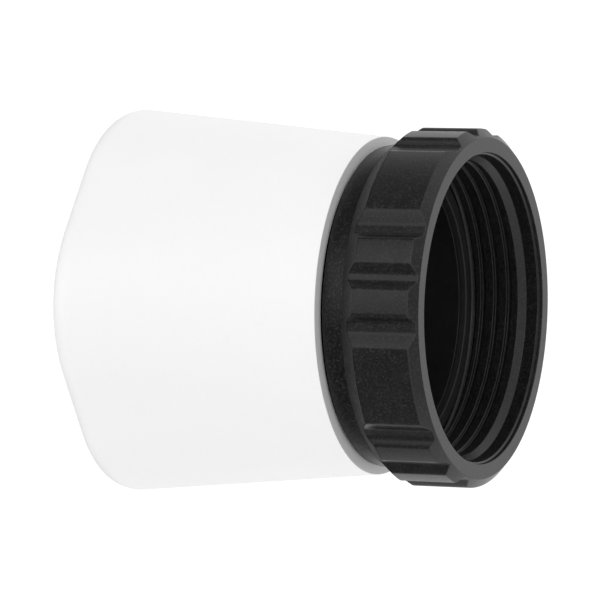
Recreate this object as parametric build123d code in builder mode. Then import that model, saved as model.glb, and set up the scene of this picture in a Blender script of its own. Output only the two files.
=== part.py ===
from build123d import *
from math import cos, radians, sin
import os

# Screw-on protective cap: a soft moulded shell with a swivelling threaded coupling ring.
# The cap stands on its closed end. The origin is the centre of that end's flat face,
# +Z runs along the cap's axis and out of the threaded mouth, and all sizes are in mm.

# ---- driving dimensions -------------------------------------------------------------

# whole cap
mouth_z = 87.2            # height of the coupling ring's front face

# moulded shell: a rounded pentagon at the closed end that becomes round at the lip
lip_z = 62.6              # height of the shell's open lip
lip_radius = 37.9         # outside radius at the lip
shell_sides = 5
first_corner_angle = -87.9
end_corner_distance = 44.5  # axis to corner at the closed end
end_corner_radius = 30.0  # plan radius of the corners at the closed end
end_edge_radius = 6.0     # rounding between the closed end's face and its sides
shell_wall = 3.4
floor_thickness = 4.0
socket_radius = 34.4      # the lip's round socket, which grips the liner sleeve
socket_floor_z = 41.5     # ledge that the sleeve's rear end seats on
section_heights = (0.0, 13.0, 26.0, 39.0, 52.0, lip_z)
least_reach = 0.35        # axis to corner centre, kept above zero where the outline is round

# retention rib of the sleeve and its groove in the shell
rib_z = 52.0
rib_width = 3.0
rib_height = 0.8

# liner sleeve
sleeve_bore_radius = 28.8
neck_radius = 31.34       # journal that the coupling ring turns on
sleeve_shoulder_z = 60.2  # top of the sleeve's socket fit
sleeve_chamfer = 1.2
flange_radius = 32.6
flange_thickness = 1.4

# sealing gasket on the sleeve's front flange
gasket_top_z = 70.6
gasket_thickness = 1.5
gasket_inner_radius = 29.4
gasket_outer_radius = 32.5
gasket_edge = 0.3

# coupling ring, outside
grip_radius = 40.0
face_radius = 38.0
front_cone_length = 1.8
grip_rear_z = mouth_z - 14.9
hub_front_z = mouth_z - 18.7
hub_front_radius = 36.8
hub_rear_z = mouth_z - 23.7
hub_rear_radius = 35.8

# coupling ring, inside
mouth_radius = 34.7
mouth_step_radius = 34.6  # slight draft down to a small step
mouth_step_top_z = mouth_z - 0.8
counterbore_radius = 34.2
counterbore_top_z = mouth_z - 1.05
counterbore_floor_z = mouth_z - 3.8
thread_crest_radius = 33.0
thread_start_z = mouth_z - 5.4
thread_end_z = mouth_z - 15.6
relief_radius = 34.3      # undercut behind the thread
relief_top_z = mouth_z - 16.1
relief_floor_z = mouth_z - 16.5
rear_bore_radius = 33.8
rear_bore_top_z = mouth_z - 17.2
ring_flange_thickness = 3.2
journal_clearance = 0.06

# finger grips round the coupling ring
grip_groups = 5
first_group_angle = -99.2
valley_radius = 38.4
cut_radius = 40.6         # cutters reach past the grips
groove_floor_half = 1.2   # half angles from the middle of a group, in degrees
groove_mouth_half = 5.3
valley_inner_mouth = 11.8
valley_inner_floor = 14.4
valley_outer_floor = 18.2
valley_outer_mouth = 24.0

# slip washer and retaining ring
washer_thickness = 0.4
washer_inner_radius = 31.65
washer_outer_radius = 32.7
retainer_thickness = 1.2
retainer_outer_radius = 33.0
retainer_groove_radius = 30.4
retainer_gap = 6.0

# heights that follow from the ones above
flange_top_z = gasket_top_z - gasket_thickness
flange_bottom_z = flange_top_z - flange_thickness
ring_flange_top_z = hub_rear_z + ring_flange_thickness
retainer_bottom_z = hub_rear_z - retainer_thickness
axial_float = flange_bottom_z - ring_flange_top_z - washer_thickness

fit_gap = 0.02            # between fixed pieces that are pressed together
os.makedirs("parts", exist_ok=True)


def polar_points(*pairs):
    """Turn (radius, degrees) pairs into points."""
    return [(r * cos(radians(a)), r * sin(radians(a))) for r, a in pairs]


def corner_radius_at(z):
    """Plan radius of the shell's corners: it grows in proportion to the height."""
    return end_corner_radius + (lip_radius - end_corner_radius) * z / lip_z


def corner_distance_at(z):
    """Axis to corner: a straight taper from the closed end to the lip."""
    return end_corner_distance + (lip_radius - end_corner_distance) * z / lip_z


def rounded_pentagon(corner_distance, corner_radius):
    """Add a rounded pentagon to the open sketch: a small sharp one, offset by the radius."""
    reach = max(corner_distance - corner_radius, least_reach)
    step = 360 / shell_sides
    corners = [(reach, first_corner_angle + step * side) for side in range(shell_sides)]
    Polygon(*polar_points(*corners), align=None)
    offset(amount=corner_distance - reach)


# ---- cap shell ----------------------------------------------------------------------

with BuildPart() as cap_shell:
    for height in section_heights:
        with BuildSketch(Plane.XY.offset(height)):
            rounded_pentagon(corner_distance_at(height), corner_radius_at(height))
    loft()
    fillet(cap_shell.faces().sort_by(Axis.Z)[0].edges(), end_edge_radius)
    # the hollow follows the outside at one wall thickness, up to the ledge
    for height in (floor_thickness, *section_heights[1:3], socket_floor_z):
        with BuildSketch(Plane.XY.offset(height)):
            rounded_pentagon(
                corner_distance_at(height) - shell_wall,
                corner_radius_at(height) - shell_wall,
            )
    loft(mode=Mode.SUBTRACT)
    # round socket for the sleeve, with the groove for its retention rib
    with BuildSketch(Plane.XY.offset(socket_floor_z)):
        Circle(socket_radius)
    extrude(amount=lip_z - socket_floor_z, mode=Mode.SUBTRACT)
    with BuildSketch(Plane.XY.offset(rib_z)):
        Circle(socket_radius + rib_height)
    extrude(amount=rib_width, mode=Mode.SUBTRACT)

# ---- liner sleeve -------------------------------------------------------------------

with BuildPart() as liner_sleeve:
    with BuildSketch(Plane.XZ):
        with BuildLine():
            body_radius = socket_radius - fit_gap
            Polyline(
                (sleeve_bore_radius, socket_floor_z),
                (body_radius - sleeve_chamfer, socket_floor_z),
                (body_radius, socket_floor_z + sleeve_chamfer),
                (body_radius, rib_z + fit_gap),
                (body_radius + rib_height, rib_z + fit_gap),
                (body_radius + rib_height, rib_z + rib_width - rib_height),
                (body_radius, rib_z + rib_width - fit_gap),
                (body_radius, sleeve_shoulder_z - sleeve_chamfer),
                (body_radius - sleeve_chamfer, sleeve_shoulder_z),
                (neck_radius, sleeve_shoulder_z),
                (neck_radius, retainer_bottom_z),
                (retainer_groove_radius, retainer_bottom_z),
                (retainer_groove_radius, hub_rear_z),
                (neck_radius, hub_rear_z),
                (neck_radius, flange_bottom_z),
                (flange_radius, flange_bottom_z),
                (flange_radius, flange_top_z),
                (sleeve_bore_radius, flange_top_z),
                close=True,
            )
        make_face()
    revolve(axis=Axis.Z)

# ---- sealing gasket -----------------------------------------------------------------

with BuildPart() as sealing_gasket:
    with BuildSketch(Plane.XY.offset(flange_top_z)):
        Circle(gasket_outer_radius)
        Circle(gasket_inner_radius, mode=Mode.SUBTRACT)
    extrude(amount=gasket_thickness)
    fillet(sealing_gasket.faces().sort_by(Axis.Z)[-1].edges(), gasket_edge)

# ---- coupling ring ------------------------------------------------------------------

with BuildPart() as coupling_ring:
    # turned shape: grip band between a front cone and a rear cone, then the hub
    with BuildSketch(Plane.XZ):
        with BuildLine():
            Polyline(
                (mouth_radius, mouth_z),
                (face_radius, mouth_z),
                (grip_radius, mouth_z - front_cone_length),
                (grip_radius, grip_rear_z),
                (hub_front_radius, hub_front_z),
                (hub_rear_radius, hub_rear_z),
                (neck_radius + journal_clearance, hub_rear_z),
                (neck_radius + journal_clearance, ring_flange_top_z),
                (rear_bore_radius, ring_flange_top_z),
                (rear_bore_radius, rear_bore_top_z),
                (relief_radius, relief_floor_z),
                (relief_radius, relief_top_z),
                (thread_crest_radius, thread_end_z),
                (thread_crest_radius, thread_start_z),
                (counterbore_radius, counterbore_floor_z),
                (counterbore_radius, counterbore_top_z),
                (mouth_step_radius, mouth_step_top_z),
                close=True,
            )
        make_face()
    revolve(axis=Axis.Z)
    # each group of grips is a groove with a sloped valley on either side
    with BuildSketch(Plane.XY.offset(hub_rear_z)):
        with PolarLocations(0, grip_groups, start_angle=first_group_angle):
            Polygon(
                *polar_points(
                    (valley_radius, -groove_floor_half),
                    (valley_radius, groove_floor_half),
                    (cut_radius, groove_mouth_half),
                    (cut_radius, -groove_mouth_half),
                ),
                align=None,
            )
            for side in (1, -1):
                Polygon(
                    *polar_points(
                        (cut_radius, side * valley_inner_mouth),
                        (valley_radius, side * valley_inner_floor),
                        (valley_radius, side * valley_outer_floor),
                        (cut_radius, side * valley_outer_mouth),
                    ),
                    align=None,
                )
    extrude(amount=mouth_z - hub_rear_z, mode=Mode.SUBTRACT)

# ---- slip washer: keeps the ring's flange off the sleeve's flange ---------------------

with BuildPart() as slip_washer:
    with BuildSketch(Plane.XY.offset(ring_flange_top_z)):
        Circle(washer_outer_radius)
        Circle(washer_inner_radius, mode=Mode.SUBTRACT)
    extrude(amount=washer_thickness)

# ---- retaining ring: split spring ring in the sleeve's groove -------------------------

with BuildPart() as retaining_ring:
    with BuildSketch(Plane.XY.offset(retainer_bottom_z)):
        Circle(retainer_outer_radius)
        Circle(retainer_groove_radius + fit_gap, mode=Mode.SUBTRACT)
        with Locations((0, retainer_outer_radius)):
            Rectangle(retainer_gap, 2 * retainer_gap, mode=Mode.SUBTRACT)
    extrude(amount=retainer_thickness)

# ---- export -------------------------------------------------------------------------

pieces = {
    "cap_shell": cap_shell,
    "liner_sleeve": liner_sleeve,
    "sealing_gasket": sealing_gasket,
    "coupling_ring": coupling_ring,
    "slip_washer": slip_washer,
    "retaining_ring": retaining_ring,
}
for name, piece in pieces.items():
    piece.part.label = name
    export_step(piece.part, f"parts/{name}.step")
    print(f"{name}: {piece.part.volume:.0f} mm3")
print(f"axial float of the coupling ring: {axial_float:.2f} mm")
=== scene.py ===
from math import atan, cos, pi, radians, sin

import bmesh
import bpy
import numpy as np
from mathutils import Matrix, Vector


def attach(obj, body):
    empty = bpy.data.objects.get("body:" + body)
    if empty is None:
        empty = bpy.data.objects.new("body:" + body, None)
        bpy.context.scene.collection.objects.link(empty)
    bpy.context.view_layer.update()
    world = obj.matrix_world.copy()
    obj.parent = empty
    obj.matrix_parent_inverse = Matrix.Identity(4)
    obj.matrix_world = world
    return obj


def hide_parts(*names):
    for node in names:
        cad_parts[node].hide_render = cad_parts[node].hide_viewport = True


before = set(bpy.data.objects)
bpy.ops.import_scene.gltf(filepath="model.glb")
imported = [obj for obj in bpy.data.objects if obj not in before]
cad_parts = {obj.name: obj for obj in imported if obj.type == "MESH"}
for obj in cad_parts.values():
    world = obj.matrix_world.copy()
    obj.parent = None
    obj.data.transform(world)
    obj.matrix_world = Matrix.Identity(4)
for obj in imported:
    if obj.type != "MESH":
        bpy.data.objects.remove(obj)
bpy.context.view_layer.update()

mm = 0.001
weldDistance = 0.0015 * mm     # points closer than this become one

def linearColour(hexText):
    # each sRGB channel c becomes ((c + 0.055) / 1.055) to the power 2.4, or c / 12.92 near black
    channels = [int(hexText[i:i + 2], 16) / 255 for i in (0, 2, 4)]
    return [c / 12.92 if c <= 0.04045 else ((c + 0.055) / 1.055) ** 2.4 for c in channels] + [1.0]


def addNode(tree, kind, links=None, inputs=None, **settings):
    # one shader node: settings are its own properties, inputs are fixed socket values,
    # links are socket name -> the output that feeds it
    node = tree.nodes.new(kind)
    for name, value in settings.items():
        setattr(node, name, value)
    for name, value in (inputs or {}).items():
        node.inputs[name].default_value = value
    for name, output in (links or {}).items():
        tree.links.new(output, node.inputs[name])
    return node


def smoothStep(x):
    # 0 below 0, 1 above 1, and 3x^2 - 2x^3 between
    x = np.clip(x, 0.0, 1.0)
    return x * x * (3 - 2 * x)


def roundedRows(corners, steps=4, support=0.12):
    # corners are (radius, height, rounding) along a profile, and each may vary round the axis.
    # A corner becomes a quadratic curve from one tangent point to the other, with a support row
    # just outside each tangent point so that the flats stay flat under smooth shading.
    count = max(np.size(value) for corner in corners for value in corner)
    full = [[np.broadcast_to(np.asarray(v, float), count) for v in corner] for corner in corners]
    points = np.array([[r, z] for r, z, _ in full])
    rows = [points[0]]
    for i in range(1, len(points) - 1):
        toPrev, toNext = points[i - 1] - points[i], points[i + 1] - points[i]
        lenPrev, lenNext = np.linalg.norm(toPrev, axis=0), np.linalg.norm(toNext, axis=0)
        toPrev, toNext = toPrev / lenPrev, toNext / lenNext
        turn = pi - np.arccos(np.clip((toPrev * toNext).sum(axis=0), -1, 1))
        reach = full[i][2] * np.tan(turn / 2)
        reach = np.minimum(reach, 0.4 * np.minimum(lenPrev, lenNext))
        start, end = points[i] + toPrev * reach, points[i] + toNext * reach
        rows.append(start + toPrev * np.minimum(support, 0.1 * lenPrev))
        for u in np.linspace(0, 1, steps + 1):
            rows.append((1 - u) ** 2 * start + 2 * u * (1 - u) * points[i] + u**2 * end)
        rows.append(end + toNext * np.minimum(support, 0.1 * lenNext))
    rows.append(points[-1])
    return np.array(rows)


def turned(rows, angles):
    # rows of (radius, height), carried round the Z axis: x = r cos a, y = r sin a, z = height
    radius, height = rows[:, 0], rows[:, 1]
    radius = np.broadcast_to(radius, (len(rows), len(angles)))
    height = np.broadcast_to(height, (len(rows), len(angles)))
    return np.stack([radius * np.cos(angles), radius * np.sin(angles), height], axis=-1)


def surfaceMesh(name, grids, body, replaced, material):
    # each grid of points (rows x columns x 3, in mm) becomes quads; edges that meet are welded,
    # so seams and poles close, and the normals are then turned outwards
    vertices, faces, offset = [], [], 0
    for grid in grids:
        rowCount, columnCount = grid.shape[:2]
        index = offset + np.arange(rowCount * columnCount).reshape(rowCount, columnCount)
        quads = np.stack([index[:-1, :-1], index[:-1, 1:], index[1:, 1:], index[1:, :-1]], axis=-1)
        vertices.append(grid.reshape(-1, 3) * mm)
        faces.append(quads.reshape(-1, 4))
        offset += rowCount * columnCount
    mesh = bpy.data.meshes.new(name)
    mesh.from_pydata(np.concatenate(vertices), [], np.concatenate(faces).tolist())
    work = bmesh.new()
    work.from_mesh(mesh)
    bmesh.ops.remove_doubles(work, verts=work.verts, dist=weldDistance)
    bmesh.ops.recalc_face_normals(work, faces=work.faces)
    openEdges = sum(1 for edge in work.edges if not edge.is_manifold)
    work.to_mesh(mesh)
    work.free()
    mesh.polygons.foreach_set("use_smooth", [True] * len(mesh.polygons))
    mesh.materials.append(material)
    piece = bpy.data.objects.new(name, mesh)
    bpy.context.scene.collection.objects.link(piece)
    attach(piece, body)
    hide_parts(replaced)
    print(f"{name}: {len(mesh.polygons)} faces, {openEdges} open edges")
    return piece


# materials

def plasticMaterial(name, look):
    # Moulded plastic or rubber. Cloudy colour from slow noise, fine flecks from fast noise, and a
    # texture that the mould's eroded steel leaves: bump and roughness read the same fine noise.
    material = bpy.data.materials.new(name)
    material.use_nodes = True
    tree = material.node_tree
    shader = tree.nodes["Principled BSDF"]
    place = addNode(tree, "ShaderNodeTexCoord")
    cloud = addNode(tree, "ShaderNodeTexNoise", {"Vector": place.outputs["Object"]},
                    {"Scale": 1 / (look["cloudSize"] * mm), "Detail": 3.0, "Roughness": 0.5})
    grain = addNode(tree, "ShaderNodeTexNoise", {"Vector": place.outputs["Object"]},
                    {"Scale": 1 / (look["grainSize"] * mm), "Detail": 2.0, "Roughness": 0.6})
    fleck = addNode(tree, "ShaderNodeTexNoise", {"Vector": place.outputs["Object"]},
                    {"Scale": 1 / (look["fleckSize"] * mm), "Detail": 1.0, "Roughness": 0.5})
    cloudColour = addNode(tree, "ShaderNodeValToRGB", {"Fac": cloud.outputs["Fac"]})
    cloudColour.color_ramp.elements[0].position = 0.35
    cloudColour.color_ramp.elements[0].color = linearColour(look["darkColour"])
    cloudColour.color_ramp.elements[1].position = 0.65
    cloudColour.color_ramp.elements[1].color = linearColour(look["lightColour"])
    fleckShare = addNode(tree, "ShaderNodeMapRange", {"Value": fleck.outputs["Fac"]},
                         {"From Min": look["fleckFrom"], "From Max": look["fleckTo"],
                          "To Min": 0.0, "To Max": look["fleckAmount"]})
    # a colour mix takes its share at socket 0, its two colours at 6 and 7, and gives its result at 2
    colour = addNode(tree, "ShaderNodeMix",
                     {0: fleckShare.outputs["Result"], 6: cloudColour.outputs["Color"]},
                     {7: linearColour(look["fleckColour"])}, data_type="RGBA")
    tree.links.new(colour.outputs[2], shader.inputs["Base Color"])
    rough = addNode(tree, "ShaderNodeMapRange", {"Value": grain.outputs["Fac"]},
                    {"From Min": 0.3, "From Max": 0.7,
                     "To Min": look["roughness"] - look["roughnessSpread"],
                     "To Max": look["roughness"] + look["roughnessSpread"]})
    tree.links.new(rough.outputs["Result"], shader.inputs["Roughness"])
    bump = addNode(tree, "ShaderNodeBump", {"Height": grain.outputs["Fac"]},
                   {"Strength": look["bumpStrength"], "Distance": look["bumpDepth"] * mm})
    tree.links.new(bump.outputs["Normal"], shader.inputs["Normal"])
    shader.inputs["IOR"].default_value = look["ior"]
    return material


# soft PVC, injection moulded in a finely blasted mould: white with a silky, slightly cloudy skin.
# The blasted grain is about 0.1 mm and is drawn coarser, so that it shows.
softVinyl = plasticMaterial("softVinylMoulded", {
    "lightColour": "efefef", "darkColour": "eeeeee", "cloudSize": 14.0,
    "fleckColour": "e9e9e9", "fleckSize": 0.9, "fleckFrom": 0.55, "fleckTo": 0.75, "fleckAmount": 0.2,
    "grainSize": 0.45, "roughness": 0.42, "roughnessSpread": 0.05,
    "bumpStrength": 0.12, "bumpDepth": 0.03, "ior": 1.53,
})

# glass-filled nylon from an eroded mould: black, with short glass fibres that show as pale flecks.
# The fibres are a hundredth of a millimetre thick and the eroded grain is about 0.05 mm, so both are
# drawn as coarse as they need to show.
glassFilledNylon = plasticMaterial("glassFilledNylonMoulded", {
    "lightColour": "171719", "darkColour": "121213", "cloudSize": 3.0,
    "fleckColour": "3a3a39", "fleckSize": 0.5, "fleckFrom": 0.5, "fleckTo": 0.72, "fleckAmount": 0.35,
    "grainSize": 0.5, "roughness": 0.33, "roughnessSpread": 0.06,
    "bumpStrength": 0.5, "bumpDepth": 0.06, "ior": 1.42,
})

# the same nylon on the hub and rear cone as painted shade: a darker copy with a lower IOR, so hardly any
# sheen, standing in for the shade these parts lie in beside the shell's lip; its roughness is about the same
# as on the grips
paintedShadeNylon = plasticMaterial("glassFilledNylonPaintedShade", {
    "lightColour": "171719", "darkColour": "111112", "cloudSize": 3.0,
    "fleckColour": "3a3a39", "fleckSize": 0.5, "fleckFrom": 0.5, "fleckTo": 0.72, "fleckAmount": 0.5,
    "grainSize": 0.5, "roughness": 0.33, "roughnessSpread": 0.05,
    "bumpStrength": 0.45, "bumpDepth": 0.06, "ior": 1.31,
})

# unfilled nylon from a polished mould: plain black with a low sheen
plainNylon = plasticMaterial("plainNylonMoulded", {
    "lightColour": "131314", "darkColour": "0e0e0f", "cloudSize": 6.0,
    "fleckColour": "1d1d1e", "fleckSize": 0.8, "fleckFrom": 0.55, "fleckTo": 0.75, "fleckAmount": 0.4,
    "grainSize": 0.6, "roughness": 0.4, "roughnessSpread": 0.05,
    "bumpStrength": 0.1, "bumpDepth": 0.03, "ior": 1.52,
})

# nitrile rubber, compression moulded: black, dull, with a powdery bloom
nitrileRubber = plasticMaterial("nitrileRubberMoulded", {
    "lightColour": "1b1b1b", "darkColour": "141414", "cloudSize": 4.0,
    "fleckColour": "2a2a29", "fleckSize": 0.7, "fleckFrom": 0.55, "fleckTo": 0.75, "fleckAmount": 0.5,
    "grainSize": 0.4, "roughness": 0.55, "roughnessSpread": 0.06,
    "bumpStrength": 0.15, "bumpDepth": 0.03, "ior": 1.52,
})

# acetal strip, skived: milky white with a waxy gloss
acetalStrip = plasticMaterial("acetalSkived", {
    "lightColour": "e2e1da", "darkColour": "d9d8d0", "cloudSize": 5.0,
    "fleckColour": "cfcec6", "fleckSize": 0.6, "fleckFrom": 0.5, "fleckTo": 0.75, "fleckAmount": 0.4,
    "grainSize": 0.4, "roughness": 0.35, "roughnessSpread": 0.05,
    "bumpStrength": 0.1, "bumpDepth": 0.02, "ior": 1.48,
})
print("materials made")

# cap shell: soft moulded body, a rounded pentagon that becomes round at its lip

shellSizes = {
    "sides": 5, "firstCorner": -87.9, "lipHeight": 62.6, "lipRadius": 37.9,
    "endCornerDistance": 44.5, "endCornerRadius": 30.0, "leastReach": 0.35,
    "endEdgeRadius": 6.0, "wall": 3.4, "floorThickness": 4.0, "socketRadius": 34.4,
    "socketFloor": 41.5, "socketMiddle": 52.0, "lipEdge": 0.12, "floorEdge": 3.0,
    "arcSteps": 48, "flatSteps": 10, "sideRows": 44, "edgeRows": 15, "lipRows": 6,
    "cavityRows": 12, "floorRows": 7,
}


def roundedPentagon(cornerDistance, cornerRadius, s):
    # A small sharp pentagon offset by a radius. Each corner is an arc of one turn over the number
    # of sides, centred at (distance - radius) from the axis; flats join the arcs.
    reach = max(cornerDistance - cornerRadius, s["leastReach"])
    radius = cornerDistance - reach
    step = 2 * pi / s["sides"]
    corner = reach + radius * np.exp(1j * np.linspace(-step / 2, step / 2, s["arcSteps"] + 1))
    share = np.linspace(0, 1, s["flatSteps"] + 1)[1:-1]
    flat = corner[-1] + (corner[0] * np.exp(1j * step) - corner[-1]) * share
    side = np.concatenate([corner, flat]) * np.exp(1j * radians(s["firstCorner"]))
    return np.concatenate([side * np.exp(1j * step * k) for k in range(s["sides"])] + [side[:1]])


def shellOutline(height, inset, s):
    # the corner radius and the distance to the corner both change in proportion to the height
    share = height / s["lipHeight"]
    cornerRadius = s["endCornerRadius"] + (s["lipRadius"] - s["endCornerRadius"]) * share
    cornerDistance = s["endCornerDistance"] + (s["lipRadius"] - s["endCornerDistance"]) * share
    return roundedPentagon(cornerDistance - inset, cornerRadius - inset, s)


def shellRows(s):
    # Outlines with their heights: from the centre of the closed end, out and up the side, over the
    # lip and down inside. Each rounding is a quarter turn of inset and height, and the rows beside a
    # rounding stand close to it, so that the flats stay flat under smooth shading.
    rows = []
    edge, lip, lipEdge, floorEdge = s["endEdgeRadius"], s["lipHeight"], s["lipEdge"], s["floorEdge"]
    face = shellOutline(edge, edge, s)
    rows += [(face * share, 0.0) for share in (0.0, 0.3, 0.6, 0.85, 0.97)]
    for turn in np.linspace(0, pi / 2, s["edgeRows"]):
        height = edge * (1 - cos(turn))
        rows.append((shellOutline(height, edge * (1 - sin(turn)), s), height))
    for height in np.linspace(edge + 0.4, lip - lipEdge - 0.1, s["sideRows"]):
        rows.append((shellOutline(height, 0.0, s), height))
    for turn in np.linspace(0, pi / 2, s["lipRows"]):
        inset, height = lipEdge * (1 - cos(turn)), lip - lipEdge * (1 - sin(turn))
        rows.append((shellOutline(lip, inset, s), height))
    socket, innerEdge = s["socketRadius"], 1.2 * lipEdge
    for radius in (s["lipRadius"] - lipEdge - 0.15, socket + innerEdge + 0.15):
        rows.append((roundedPentagon(radius, radius, s), lip))
    for turn in np.linspace(0, pi / 2, s["lipRows"]):
        radius, height = socket + innerEdge * (1 - sin(turn)), lip - innerEdge * (1 - cos(turn))
        rows.append((roundedPentagon(radius, radius, s), height))
    ledge = s["socketFloor"]
    for height in (lip - innerEdge - 0.1, lip - 2.0, s["socketMiddle"], ledge + 0.2, ledge):
        rows.append((roundedPentagon(socket, socket, s), height))
    for height in np.linspace(ledge, s["floorThickness"] + floorEdge, s["cavityRows"]):
        rows.append((shellOutline(height, s["wall"], s), height))
    for turn in np.linspace(0, pi / 2, s["floorRows"])[1:]:
        height = s["floorThickness"] + floorEdge * (1 - sin(turn))
        rows.append((shellOutline(height, s["wall"] + floorEdge * (1 - cos(turn)), s), height))
    floor = rows[-1][0]
    rows += [(floor * share, s["floorThickness"]) for share in (0.9, 0.6, 0.3, 0.0)]
    return rows


rows = shellRows(shellSizes)
shellGrid = np.array([np.stack([loop.real, loop.imag, np.full(loop.shape, height)], axis=-1)
                      for loop, height in rows])
surfaceMesh("capShell", [shellGrid], "cap_body", "cap_shell", softVinyl)

# liner sleeve and gasket: turned shapes inside the shell's mouth

sleeveSizes = {
    "bore": 28.8, "body": 34.38, "chamfer": 1.2, "bottom": 41.5, "shoulder": 60.2,
    "neck": 31.34, "flange": 32.6, "flangeBottom": 67.72, "flangeTop": 69.1,
    "groove": 30.4, "grooveBottom": 62.3, "grooveTop": 63.5, "edge": 0.12, "seam": 55.0, "columns": 256,
}


def sleeveCorners(s):
    # (radius, height, rounding) from a seam inside the bore, over the flange and down the outside
    return [
        (s["bore"], s["seam"], 0), (s["bore"], s["flangeTop"], s["edge"]),
        (s["flange"], s["flangeTop"], s["edge"]), (s["flange"], s["flangeBottom"], s["edge"]),
        (s["neck"], s["flangeBottom"], 0.1), (s["neck"], s["grooveTop"], 0.05),
        (s["groove"], s["grooveTop"], 0.05), (s["groove"], s["grooveBottom"], 0.05),
        (s["neck"], s["grooveBottom"], 0.05), (s["neck"], s["shoulder"], s["edge"]),
        (s["body"] - s["chamfer"], s["shoulder"], s["edge"]),
        (s["body"], s["shoulder"] - s["chamfer"], s["edge"]),
        (s["body"], s["bottom"] + s["chamfer"], s["edge"]),
        (s["body"] - s["chamfer"], s["bottom"], s["edge"]), (s["bore"], s["bottom"], s["edge"]),
        (s["bore"], s["seam"], 0),
    ]


angles = np.linspace(0, 2 * pi, sleeveSizes["columns"] + 1)
surfaceMesh("linerSleeve", [turned(roundedRows(sleeveCorners(sleeveSizes), steps=3), angles)],
            "cap_body", "liner_sleeve", plainNylon)

gasketSizes = {"inner": 29.4, "outer": 32.5, "bottom": 69.1, "top": 70.6, "edge": 0.3, "columns": 256}


def gasketCorners(s):
    # (radius, height, rounding) round the flat section, from the middle of its underside
    middle = (s["inner"] + s["outer"]) / 2
    return [
        (middle, s["bottom"], 0), (s["inner"], s["bottom"], 0.1), (s["inner"], s["top"], s["edge"]),
        (s["outer"], s["top"], s["edge"]), (s["outer"], s["bottom"], 0.1), (middle, s["bottom"], 0),
    ]


surfaceMesh("sealingGasket", [turned(roundedRows(gasketCorners(gasketSizes), steps=6), angles)],
            "cap_body", "sealing_gasket", nitrileRubber)

# coupling ring: grips outside, right-hand thread inside

ringSizes = {
    "mouth": 87.2, "faceRadius": 38.0, "gripRadius": 40.0, "coneSlope": 0.9,
    "gripRear": 72.3, "hubFront": 68.5, "hubFrontRadius": 36.8, "hubRear": 63.5, "hubRearRadius": 35.8,
    "journal": 31.4, "flangeTop": 66.7, "mouthRadius": 34.7, "stepRadius": 34.6, "stepDepth": 0.8,
    "counterbore": 34.2, "counterboreTop": 1.05, "counterboreFloor": 3.8,
    "relief": 34.3, "reliefTop": 16.1, "reliefFloor": 16.5, "rearBore": 33.8, "rearBoreTop": 17.2,
    # the step and drop on the next line set where the painted shade on the hub and rear cone begins
    "paintedShadeStep": 1.0, "paintedShadeDrop": 0.2, "columns": 600, "cornerSteps": 3,
}
gripSizes = {
    "groups": 5, "firstAngle": -99.2, "valleyRadius": 38.4, "cutRadius": 40.6,
    "grooveFloor": 1.2, "grooveMouth": 5.3, "innerMouth": 11.8, "innerFloor": 14.4,
    "outerFloor": 18.2, "outerMouth": 24.0, "edgeSoftness": 0.45, "fineStep": 0.05,
}
threadSizes = {
    "crest": 33.0, "start": 5.4, "end": 15.6, "pitch": 3.175, "depth": 0.65, "flank": 0.13,
    "grooveWidth": 0.42, "firstFlankDepth": 8.3, "firstTurn": -0.28, "lastTurn": 2.26, "fade": 0.08,
    "edge": 0.15, "lead": 0.4, "tail": 0.1, "zeroAngle": 90, "wholeTurns": (-2, 4),
}


def gripRadius(degrees, s, full):
    # Radius over the grips: in each group a middle groove and two sloped valleys, all straight
    # lines in angle, are cut down from the full radius. A short running mean rounds the creases.
    half = 180 / s["groups"]       # from the middle of a group to halfway to the next
    fine = np.arange(-180, 180, s["fineStep"])
    around = np.abs((fine - s["firstAngle"] + half) % (2 * half) - half)
    knots = [0, s["grooveFloor"], s["grooveMouth"], s["innerMouth"], s["innerFloor"],
             s["outerFloor"], s["outerMouth"], half]
    low, high = s["valleyRadius"], s["cutRadius"]
    radius = np.minimum(np.interp(around, knots, [low, low, high, high, low, low, high, high]), full)
    width = int(s["edgeSoftness"] / s["fineStep"])
    kernel = np.ones(width) / width
    padded = np.concatenate([radius[-2 * width:], radius, radius[:2 * width]])
    soft = np.convolve(np.convolve(padded, kernel, "same"), kernel, "same")[2 * width:-2 * width]
    return np.interp((degrees + 180) % 360 - 180, fine, soft, period=360)


def ringCorners(grip, s, t):
    # (radius, height, rounding) from behind the thread, back and round the outside to the mouth, and
    # in to the thread's front. Where a grip is cut lower, its cones meet it further along their slope.
    mouth, slope = s["mouth"], s["coneSlope"]
    rearSlope = (s["gripRear"] - s["hubFront"]) / (s["gripRadius"] - s["hubFrontRadius"])
    frontCrease = mouth - (grip - s["faceRadius"]) * slope
    rearCrease = s["gripRear"] - (s["gripRadius"] - grip) * rearSlope
    return [
        (t["crest"], mouth - t["end"] + t["tail"], 0), (t["crest"], mouth - t["end"], t["edge"]),
        (s["relief"], mouth - s["reliefTop"], 0.2), (s["relief"], mouth - s["reliefFloor"], 0.15),
        (s["rearBore"], mouth - s["rearBoreTop"], 0.6), (s["rearBore"], s["flangeTop"], 0.4),
        (s["journal"], s["flangeTop"], 0.3), (s["journal"], s["hubRear"], 0.3),
        (s["hubRearRadius"], s["hubRear"], 0.3), (s["hubFrontRadius"], s["hubFront"], 0.6),
        (grip, rearCrease, 0.5), (grip, frontCrease, 0.45), (s["faceRadius"], mouth, 0.35),
        (s["mouthRadius"], mouth, 0.12), (s["stepRadius"], mouth - s["stepDepth"], 0.1),
        (s["counterbore"], mouth - s["counterboreTop"], 0.2),
        (s["counterbore"], mouth - s["counterboreFloor"], 0.3),
        (t["crest"], mouth - t["start"], 0.3), (t["crest"], mouth - t["start"] - t["lead"], 0),
    ]


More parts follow.
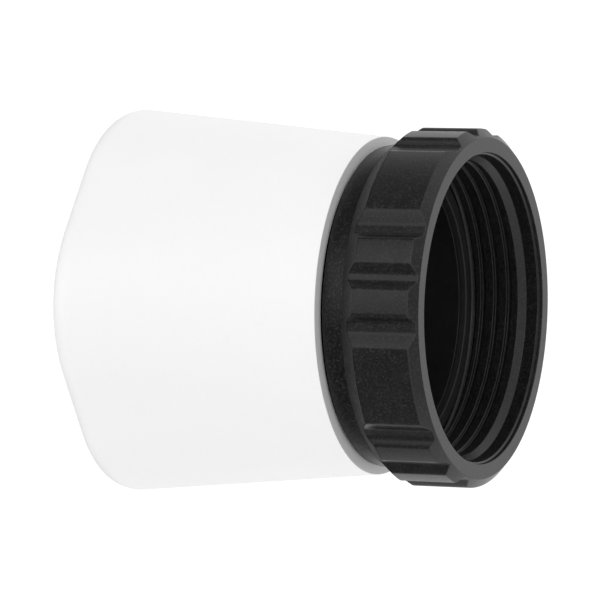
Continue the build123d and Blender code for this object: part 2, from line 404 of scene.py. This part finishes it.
def threadGrid(angles, s, t):
    # Rows follow the helix: depth = first flank + pitch (turn - angle / 360), clamped to the
    # thread's length. The groove is a smooth trapezoid that closes at every whole turn, and it
    # fades in and out at its two ends.
    degrees = np.degrees(angles) - t["zeroAngle"]
    # rows within one turn, close together on the groove's flanks
    fractions = [0.0, 0.03, 0.07, 0.2, 0.36, 0.5, 0.565, 0.59, 0.62, 0.65, 0.68, 0.71, 0.79,
                 0.86, 0.89, 0.92, 0.95, 0.98]
    turn = np.concatenate([np.array(fractions) + whole for whole in range(*t["wholeTurns"])])[:, None]
    top, bottom = t["start"] + t["lead"], t["end"] - t["tail"]
    depth = np.clip(t["firstFlankDepth"] + t["pitch"] * (turn - degrees / 360), top, bottom)
    closing = np.ceil(turn)
    opened = smoothStep((turn - closing + t["grooveWidth"]) / t["flank"])
    closed = smoothStep((closing - turn) / t["flank"])
    along = closing - degrees / 360
    fade = (smoothStep((along - t["firstTurn"]) / t["fade"])
            * smoothStep((t["lastTurn"] - along) / t["fade"]))
    radius = t["crest"] + t["depth"] * np.minimum(opened, closed) * fade
    radius = np.where((depth <= top) | (depth >= bottom), t["crest"], radius)
    return np.stack([radius * np.cos(angles), radius * np.sin(angles), s["mouth"] - depth], axis=-1)


angles = np.linspace(0, 2 * pi, ringSizes["columns"] + 1)
grip = gripRadius(np.degrees(angles), gripSizes, ringSizes["gripRadius"])
ringRows = roundedRows(ringCorners(grip, ringSizes, threadSizes), steps=ringSizes["cornerSteps"])
ringGrid = turned(ringRows, angles)
ring = surfaceMesh("couplingRing", [ringGrid, threadGrid(angles, ringSizes, threadSizes)],
                   "ring", "coupling_ring", glassFilledNylon)

# the rear cone and the hub take the painted-shade copy of the nylon, darker and with less sheen
ring.data.materials.append(paintedShadeNylon)
middles = np.zeros(len(ring.data.polygons) * 3)
ring.data.polygons.foreach_get("center", middles)
middles = middles.reshape(-1, 3) / mm
outside = np.hypot(middles[:, 0], middles[:, 1]) > ringSizes["rearBore"] + ringSizes["paintedShadeStep"]
behind = middles[:, 2] < ringSizes["gripRear"] - ringSizes["paintedShadeDrop"]
ring.data.polygons.foreach_set("material_index", (outside & behind).astype(np.int32))

# finishes of the two small pieces that keep their own solids

steelLook = {
    "darkColour": "a9aaad", "lightColour": "c6c7ca", "lineScale": 900.0, "lineDistortion": 2.0,
    "lineDetail": 2.0, "leastRoughness": 0.24, "mostRoughness": 0.36,
}

# spring steel, rolled and polished: grey with fine rolling lines round the axis, drawn about a
# third of a millimetre apart, coarser than real ones, so that they show
springSteel = bpy.data.materials.new("springSteelRolled")
springSteel.use_nodes = True
steelTree = springSteel.node_tree
steelShader = steelTree.nodes["Principled BSDF"]
steelShader.inputs["Metallic"].default_value = 1.0
steelPlace = addNode(steelTree, "ShaderNodeTexCoord")
steelLines = addNode(steelTree, "ShaderNodeTexWave", {"Vector": steelPlace.outputs["Object"]},
                     {"Scale": steelLook["lineScale"], "Distortion": steelLook["lineDistortion"],
                      "Detail": steelLook["lineDetail"]}, bands_direction="Z")
steelTone = addNode(steelTree, "ShaderNodeValToRGB", {"Fac": steelLines.outputs["Fac"]})
steelTone.color_ramp.elements[0].color = linearColour(steelLook["darkColour"])
steelTone.color_ramp.elements[1].color = linearColour(steelLook["lightColour"])
steelTree.links.new(steelTone.outputs["Color"], steelShader.inputs["Base Color"])
steelRough = addNode(steelTree, "ShaderNodeMapRange", {"Value": steelLines.outputs["Fac"]},
                     {"To Min": steelLook["leastRoughness"], "To Max": steelLook["mostRoughness"]})
steelTree.links.new(steelRough.outputs["Result"], steelShader.inputs["Roughness"])

for node, material in (("slip_washer", acetalStrip), ("retaining_ring", springSteel)):
    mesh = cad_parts[node].data
    mesh.materials.clear()
    mesh.materials.append(material)

# floor, light and camera

stageLook = {"floorHalf": 12.0, "floorDrop": 0.0002, "floorColour": "bcbcbc", "roughness": 0.9, "glow": 0.66}

# opal table top: plain and pale, softly lit from below
floorMesh = bpy.data.meshes.new("floor")
half, drop = stageLook["floorHalf"], -stageLook["floorDrop"]
floorMesh.from_pydata([(-half, -half, drop), (half, -half, drop), (half, half, drop), (-half, half, drop)],
                      [], [(0, 1, 2, 3)])
floorPaint = bpy.data.materials.new("opalTableTop")
floorPaint.use_nodes = True
floorShader = floorPaint.node_tree.nodes["Principled BSDF"]
floorShader.inputs["Base Color"].default_value = linearColour(stageLook["floorColour"])
floorShader.inputs["Roughness"].default_value = stageLook["roughness"]
floorShader.inputs["Emission Color"].default_value = (1, 1, 1, 1)
floorShader.inputs["Emission Strength"].default_value = stageLook["glow"]
floorMesh.materials.append(floorPaint)
floor = bpy.data.objects.new("floor", floorMesh)
bpy.context.scene.collection.objects.link(floor)
floor.visible_glossy = False      # gloss mirrors the studio round the table instead

# The studio round the cap. Above the horizon it is evenly bright, a little darker overhead.
# Below it the sides are dark and darker still straight down, with a bright upright strip in
# front and a bright wall behind.
studioLook = {
    "above": 1.0, "overheadDip": 0.5, "below": 0.2, "frontPatch": 1.1, "backWall": 0.9,
    "frontAim": (-19, 0), "frontWide": (14, 32), "backAim": (180, -6), "backWide": (38, 98),
    "overheadWide": (20, 46), "horizon": (-0.2, -0.02), "underTable": (-0.58, -0.42), "underLevel": 0.1,
}


def aimed(azimuth, elevation):
    # direction of an azimuth (0 towards -Y, 90 towards +X) and an elevation, in degrees
    a, e = radians(azimuth), radians(elevation)
    return (sin(a) * cos(e), -cos(a) * cos(e), sin(e))


def patchNode(tree, direction, aim, wide, strength):
    # strength inside the first half angle of wide, easing to 0 at the second
    near = addNode(tree, "ShaderNodeVectorMath", {0: direction}, {1: aim}, operation="DOT_PRODUCT")
    inner, outer = (cos(radians(angle)) for angle in wide)
    return addNode(tree, "ShaderNodeMapRange", {"Value": near.outputs["Value"]},
                   {"From Min": outer, "From Max": inner, "To Min": 0.0, "To Max": strength},
                   interpolation_type="SMOOTHSTEP").outputs["Result"]


world = bpy.data.worlds.new("studio")
bpy.context.scene.world = world
world.use_nodes = True
tree = world.node_tree
look = studioLook
direction = addNode(tree, "ShaderNodeTexCoord").outputs["Generated"]
height = addNode(tree, "ShaderNodeSeparateXYZ", {"Vector": direction}).outputs["Z"]
flat = addNode(tree, "ShaderNodeVectorMath", {0: direction}, {1: (1, 1, 0)}, operation="MULTIPLY").outputs[0]
sideways = addNode(tree, "ShaderNodeVectorMath", {0: flat}, operation="NORMALIZE").outputs[0]
front = patchNode(tree, sideways, aimed(*look["frontAim"]), look["frontWide"], look["frontPatch"])
back = patchNode(tree, direction, aimed(*look["backAim"]), look["backWide"], look["backWall"])
overhead = patchNode(tree, direction, (0, 0, 1), look["overheadWide"], look["overheadDip"])
walls = addNode(tree, "ShaderNodeMath", {0: back}, {1: look["below"]}, operation="ADD").outputs[0]
fade = addNode(tree, "ShaderNodeMapRange", {"Value": height},
               {"From Min": look["underTable"][0], "From Max": look["underTable"][1],
                "To Min": look["underLevel"]}, interpolation_type="SMOOTHSTEP").outputs["Result"]
faded = addNode(tree, "ShaderNodeMath", {0: walls, 1: fade}, operation="MULTIPLY").outputs[0]
low = addNode(tree, "ShaderNodeMath", {0: faded, 1: front}, operation="ADD").outputs[0]
high = addNode(tree, "ShaderNodeMath", {1: overhead}, {0: look["above"]}, operation="SUBTRACT").outputs[0]
rise = addNode(tree, "ShaderNodeMapRange", {"Value": height},
               {"From Min": look["horizon"][0], "From Max": look["horizon"][1]},
               interpolation_type="SMOOTHSTEP").outputs["Result"]
level = addNode(tree, "ShaderNodeMix", {0: rise, 2: low, 3: high}, data_type="FLOAT").outputs[0]
background = tree.nodes["Background"]
background.inputs["Color"].default_value = (1, 1, 1, 1)
tree.links.new(level, background.inputs["Strength"])
bpy.context.scene.view_settings.view_transform = "Standard"

# The cap lies on its side in the picture: the camera is rolled so that the cap's axis runs to the
# right. The view is set by its tilt to the axis, its roll and how far the ring's face stands from
# the middle of the picture.
cameraLook = {
    "tilt": 24.14, "roll": -1.55, "distance": 1227.3, "ringRight": 41.09, "ringUp": -1.867,
    "pictureHalf": 66.67,
}
tilt, roll = radians(cameraLook["tilt"]), radians(cameraLook["roll"])
flatRight = Vector((0, sin(tilt), cos(tilt)))
flatUp = Vector((-1, 0, 0))
backward = Vector((0, -cos(tilt), sin(tilt)))
right = cos(roll) * flatRight - sin(roll) * flatUp
up = sin(roll) * flatRight + cos(roll) * flatUp
ringFace = Vector((0, 0, ringSizes["mouth"]))
place = (ringFace - cameraLook["ringRight"] * right - cameraLook["ringUp"] * up
         + cameraLook["distance"] * backward) * mm
cameraData = bpy.data.cameras.new("camera")
cameraData.angle = 2 * atan(cameraLook["pictureHalf"] / cameraLook["distance"])
cameraData.clip_start = 0.01
cameraData.clip_end = 100.0
camera = bpy.data.objects.new("camera", cameraData)
camera.matrix_world = Matrix.Translation(place) @ Matrix((right, up, backward)).transposed().to_4x4()
bpy.context.scene.collection.objects.link(camera)
bpy.context.scene.camera = camera

# a soft front light from above the camera
frontLook = {"place": (-0.3, -0.9, 0.55), "aim": (0, 0, 0.045), "size": 0.6, "power": 1.0}
lightData = bpy.data.lights.new("frontLight", "AREA")
lightData.shape = "SQUARE"
lightData.size = frontLook["size"]
lightData.energy = frontLook["power"]
frontLight = bpy.data.objects.new("frontLight", lightData)
place, aim = Vector(frontLook["place"]), Vector(frontLook["aim"])
turn = (place - aim).to_track_quat("Z", "Y").to_matrix().to_4x4()
frontLight.matrix_world = Matrix.Translation(place) @ turn
frontLight.visible_camera = False
bpy.context.scene.collection.objects.link(frontLight)
print("stage, light and camera set")
